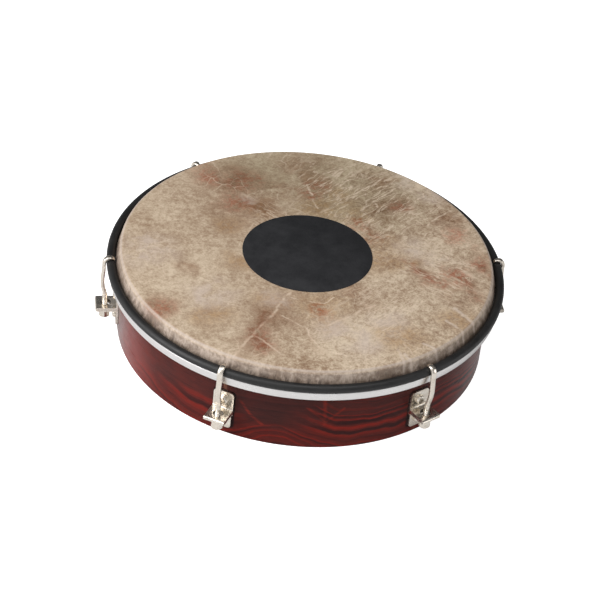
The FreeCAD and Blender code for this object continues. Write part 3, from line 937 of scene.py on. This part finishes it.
def bracket_strip():
    """The folded strip, with its narrower tab and its rounded free corners."""
    rounding = [(2, BEND), (3, SHELF_ROUND), (4, SHELF_ROUND), (5, BEND)]
    work = section(bracket_outline, rounding, steps=6)
    move(work, work.verts[:], 0, -BRACKET_WIDTH / 2, 0)
    grown = bmesh.ops.extrude_face_region(work, geom=work.faces[:])["geom"]
    far = [part for part in grown if isinstance(part, bmesh.types.BMVert)]
    move(work, far, 0, BRACKET_WIDTH, 0)
    for height in (TAB_START, TAB_START - TAB_STEP):
        everything = work.verts[:] + work.edges[:] + work.faces[:]
        bmesh.ops.bisect_plane(work, geom=everything, dist=1e-7, plane_co=(0, 0, height * MM),
                               plane_no=(0, 0, 1))
    tab = [v for v in work.verts if v.co.z < (TAB_START - TAB_STEP / 2) * MM]
    bmesh.ops.scale(work, verts=tab, vec=(1, TAB_WIDTH / BRACKET_WIDTH, 1))
    free_corners = []
    for edge in work.edges:
        one, two = (v.co for v in edge.verts)
        across = abs(one.x - two.x) > SHEET * 0.9 * MM and abs(one.y - two.y) < 1e-6
        at_end = one.z > (PLATE_TOP - 0.01) * MM or one.z < (TAB_BOTTOM + 0.01) * MM
        if across and at_end and abs(one.z - two.z) < 1e-6:
            free_corners.append(edge)
    bmesh.ops.bevel(work, geom=free_corners, offset=CORNER * MM, affect="EDGES", segments=8,
                    profile=0.5, material=-1)
    return finish_mesh("bracket", work)


def bracket_mesh():
    """The strip, drilled for its screws and its hook, with the slit in its shelf."""
    drilled = [((PLATE_BACK, 0, height), (1, 0, 0)) for height in SCREW_HEIGHTS]
    mesh = carve(bracket_strip(), rods(drilled, SCREW_HOLE, 8))
    mesh = carve(mesh, rods([(SHELF_HOLE, (0, 0, 1))], SHELF_HOLE_RADIUS, 8, segments=40))
    slit = bmesh.new()
    bmesh.ops.create_cube(slit, size=MM)
    start, end = PLATE_BACK - 1, SHELF_REACH - SEAM_STOP
    bmesh.ops.scale(slit, verts=slit.verts[:], vec=(end - start, BRACKET_WIDTH + 4, SEAM))
    move(slit, slit.verts[:], (start + end) / 2, 0, SEAM_HEIGHT)
    return carve(mesh, slit)


def ease_edges(piece, width, sharper_than=40):
    """Round every sharp edge a little, so that it catches the light."""
    ease = piece.modifiers.new("eased_edges", "BEVEL")
    ease.width, ease.segments, ease.limit_method = width * MM, 3, "ANGLE"
    ease.angle_limit = math.radians(sharper_than)
    ease.harden_normals = True
    return ease


def mark_free_edges(mesh):
    """Weigh the sharp edges for a bevel, but not those of the thin seam."""
    work = bmesh.new()
    work.from_mesh(mesh)
    weight = work.edges.layers.float.new("bevel_weight_edge")
    for edge in work.edges:
        in_seam = all(abs(v.co.z - SEAM_HEIGHT * MM) < SEAM * MM for v in edge.verts)
        bend = edge.calc_face_angle(0.0)
        edge[weight] = 1.0 if bend > math.radians(40) and not in_seam else 0.0
    work.to_mesh(mesh)
    work.free()


first_bracket = bracket_mesh()
mark_free_edges(first_bracket)
for number in range(SETS):
    name = "bracket_%d" % (number + 1)
    piece = place_piece(name, turned_copy(first_bracket, number, name), nickel, "shell",
                        "nickel_plate", "lug_" + name)
    for edge in piece.data.edges:
        edge.use_edge_sharp = False
    ease_edges(piece, 0.22).limit_method = "WEIGHT"
print("bracket faces", len(first_bracket.polygons))

# %% [markdown]
# ## The hooks
# A hook starts as a flat bar, bent over the hoop at one end and rolled to a threaded rod at
# the other. A loft suits it: one rounded section is carried along the bend by extruding its
# rim again and again, and at every step it is turned, narrowed or made rounder. The rod is
# threaded from just above the shelf down to its end: a row of teeth is spun one full turn
# while it climbs by one tooth, so each turn closes exactly on the next.

# %% Hook shape
CLAW_GAP, CLAW_TURN, CLAW_STEPS = 0.2, 130, 16
BAR_THICK, BAR_WIDE, TIP_THICK, TIP_WIDE = 1.35, 1.9, 0.55, 1.0
FLAT_BAR, ROUND_ROD = 3.2, 2.0
ROD_AXIS, ROD_TOP, ROD_END, ROD_SMOOTH, ROD_CORE = 136.2, 27.0, 12.0, 1.8, 1.6
THREAD_RADIUS, THREAD_DEPTH, THREAD_TOP, PITCH = 2.0, 0.38, 24.0, 0.7
# the bar's height, and how far it is cranked outwards there
CRANK = ((52.5, 0.0), (50.0, 0.03), (47.5, 0.2), (45.0, 0.48), (42.0, 0.7), (39.0, 0.66),
         (36.5, 0.5), (34.0, 0.05), (32.0, -0.45), (30.5, -0.9))


def hook_stations():
    """Middle of the bar, its direction, half thickness, half width and roundness."""
    stations = []
    for step in range(CLAW_STEPS + 1):
        share = step / CLAW_STEPS
        angle = math.radians(CLAW_TURN * (1 - share))
        thick = TIP_THICK + (BAR_THICK - TIP_THICK) * min(1.0, share * 1.9) ** 0.8
        wide = TIP_WIDE + (BAR_WIDE - TIP_WIDE) * min(1.0, share * 2.6)
        middle = HOOP_ROD + CLAW_GAP + thick
        place = (HOOP_RADIUS + middle * math.cos(angle), HOOP_Z + middle * math.sin(angle))
        stations.append((place, angle, thick, wide, FLAT_BAR))
    x = HOOP_RADIUS + HOOP_ROD + CLAW_GAP + BAR_THICK
    for z, crank in CRANK:
        stations.append(((x + crank, z), 0.0, BAR_THICK, BAR_WIDE, FLAT_BAR))
    last = x + CRANK[-1][1]
    for z, share in ((29.6, 0.3), (28.8, 0.7), (28.0, 1.0)):
        place = (ROD_AXIS + (last - ROD_AXIS) * (1 - share), z)
        stations.append((place, 0.0, BAR_THICK + 0.35 * share, BAR_WIDE - 0.2 * share,
                         FLAT_BAR + (ROUND_ROD - FLAT_BAR) * share))
    for z, radius in ((ROD_TOP, ROD_SMOOTH), (24.6, ROD_SMOOTH), (23.7, ROD_CORE)):
        stations.append(((ROD_AXIS, z), 0.0, radius, radius, ROUND_ROD))
    return stations


def hook_mesh(corners=20):
    """The loft: a ring of corners, extruded from station to station and closed at both ends."""
    work = bmesh.new()
    bmesh.ops.create_circle(work, segments=corners, radius=1.0)
    rim, ring_edges = work.verts[:], work.edges[:]
    order = [math.atan2(v.co.y, v.co.x) for v in rim]
    first = None
    for place, angle, thick, wide, power in hook_stations():
        if first is not None:
            grown = bmesh.ops.extrude_edge_only(work, edges=ring_edges)["geom"]
            ring_edges = [part for part in grown if isinstance(part, bmesh.types.BMEdge)]
            ring_edges = [e for e in ring_edges if len(e.link_faces) == 1]
            new = [part for part in grown if isinstance(part, bmesh.types.BMVert)]
            links = {}
            for vert in new:
                for edge in vert.link_edges:
                    links[edge.other_vert(vert)] = vert
            rim = [links[old] for old in rim]
        for vert, around in zip(rim, order):
            c, s = math.cos(around), math.sin(around)
            a = math.copysign(abs(c) ** (2 / power), c) * thick
            b = math.copysign(abs(s) ** (2 / power), s) * wide
            vert.co = Vector(((place[0] + a * math.cos(angle)) * MM, b * MM,
                              (place[1] + a * math.sin(angle)) * MM))
        if first is None:
            first = list(ring_edges)
    bmesh.ops.holes_fill(work, edges=first + ring_edges, sides=corners)
    caps = [face for face in work.faces if len(face.verts) == corners]
    tip = min(caps, key=lambda face: face.calc_center_median().x)
    bmesh.ops.bevel(work, geom=list(tip.edges), offset=0.3 * MM, affect="EDGES", segments=3,
                    profile=0.5, material=-1)
    return work


def add_thread(work, turns_from, turns_to):
    """Teeth from one height to another, as a closed screw inside the working mesh."""
    screw = bmesh.new()
    core = THREAD_RADIUS - THREAD_DEPTH
    crest = THREAD_RADIUS - 0.02
    teeth = int(round((turns_to - turns_from) / PITCH))
    last = screw.verts.new((core * MM, 0, turns_from * MM))
    for tooth in range(teeth):
        for out, up in ((crest, 0.42), (crest, 0.55), (core, 0.97), (core, 1.0)):
            spot = turns_from + (tooth + up) * PITCH
            vert = screw.verts.new((out * MM, 0, spot * MM))
            screw.edges.new((last, vert))
            last = vert
    steps = 24
    bmesh.ops.spin(screw, geom=screw.verts[:] + screw.edges[:], cent=(0, 0, 0), axis=(0, 0, 1),
                   dvec=(0, 0, PITCH / steps * MM), angle=math.tau, steps=steps,
                   use_merge=False)
    bmesh.ops.remove_doubles(screw, verts=screw.verts[:], dist=1e-6)
    rims = [edge for edge in screw.edges if len(edge.link_faces) == 1]
    bmesh.ops.holes_fill(screw, edges=rims, sides=0)
    bmesh.ops.triangulate(screw, faces=[f for f in screw.faces if len(f.verts) > 4])
    move(screw, screw.verts[:], ROD_AXIS, 0, 0)
    bmesh.ops.recalc_face_normals(screw, faces=screw.faces)
    thread = as_mesh("thread", screw)
    work.from_mesh(thread)
    bpy.data.meshes.remove(thread)
    return teeth


hook_work = hook_mesh()
teeth = add_thread(hook_work, ROD_END, THREAD_TOP)
first_hook = finish_mesh("hook", hook_work, sharp=38)
for number in range(SETS):
    name = "hook_%d" % (number + 1)
    place_piece("claw_" + name, turned_copy(first_hook, number, "claw_" + name), nickel, name,
                "nickel_plate", "tension_" + name)
print("hook faces", len(first_hook.polygons), "teeth", teeth)

# %% [markdown]
# ## Nuts and screws
# These are already the right shape in the frame, so they stay. Their triangles are welded
# into whole faces and the sharp edges eased, because a real nut never has a knife edge.

# %% Nuts and screws
def dress_node(name, paint, width):
    """Finish a node that keeps its own shape."""
    node = bpy.data.objects[name]
    for slot_on_piece in node.material_slots:
        slot_on_piece.material = paint
    weld = node.modifiers.new("welded", "WELD")
    weld.merge_threshold = 1e-6
    ease_edges(node, width, 25)


for number in range(SETS):
    dress_node("tuning_nut_%d" % (number + 1), nickel, 0.25)
dress_node("screw_nuts", nickel, 0.2)
dress_node("bracket_screws", nickel, 0.12)
print("dressed", SETS + 2, "nodes of the frame")
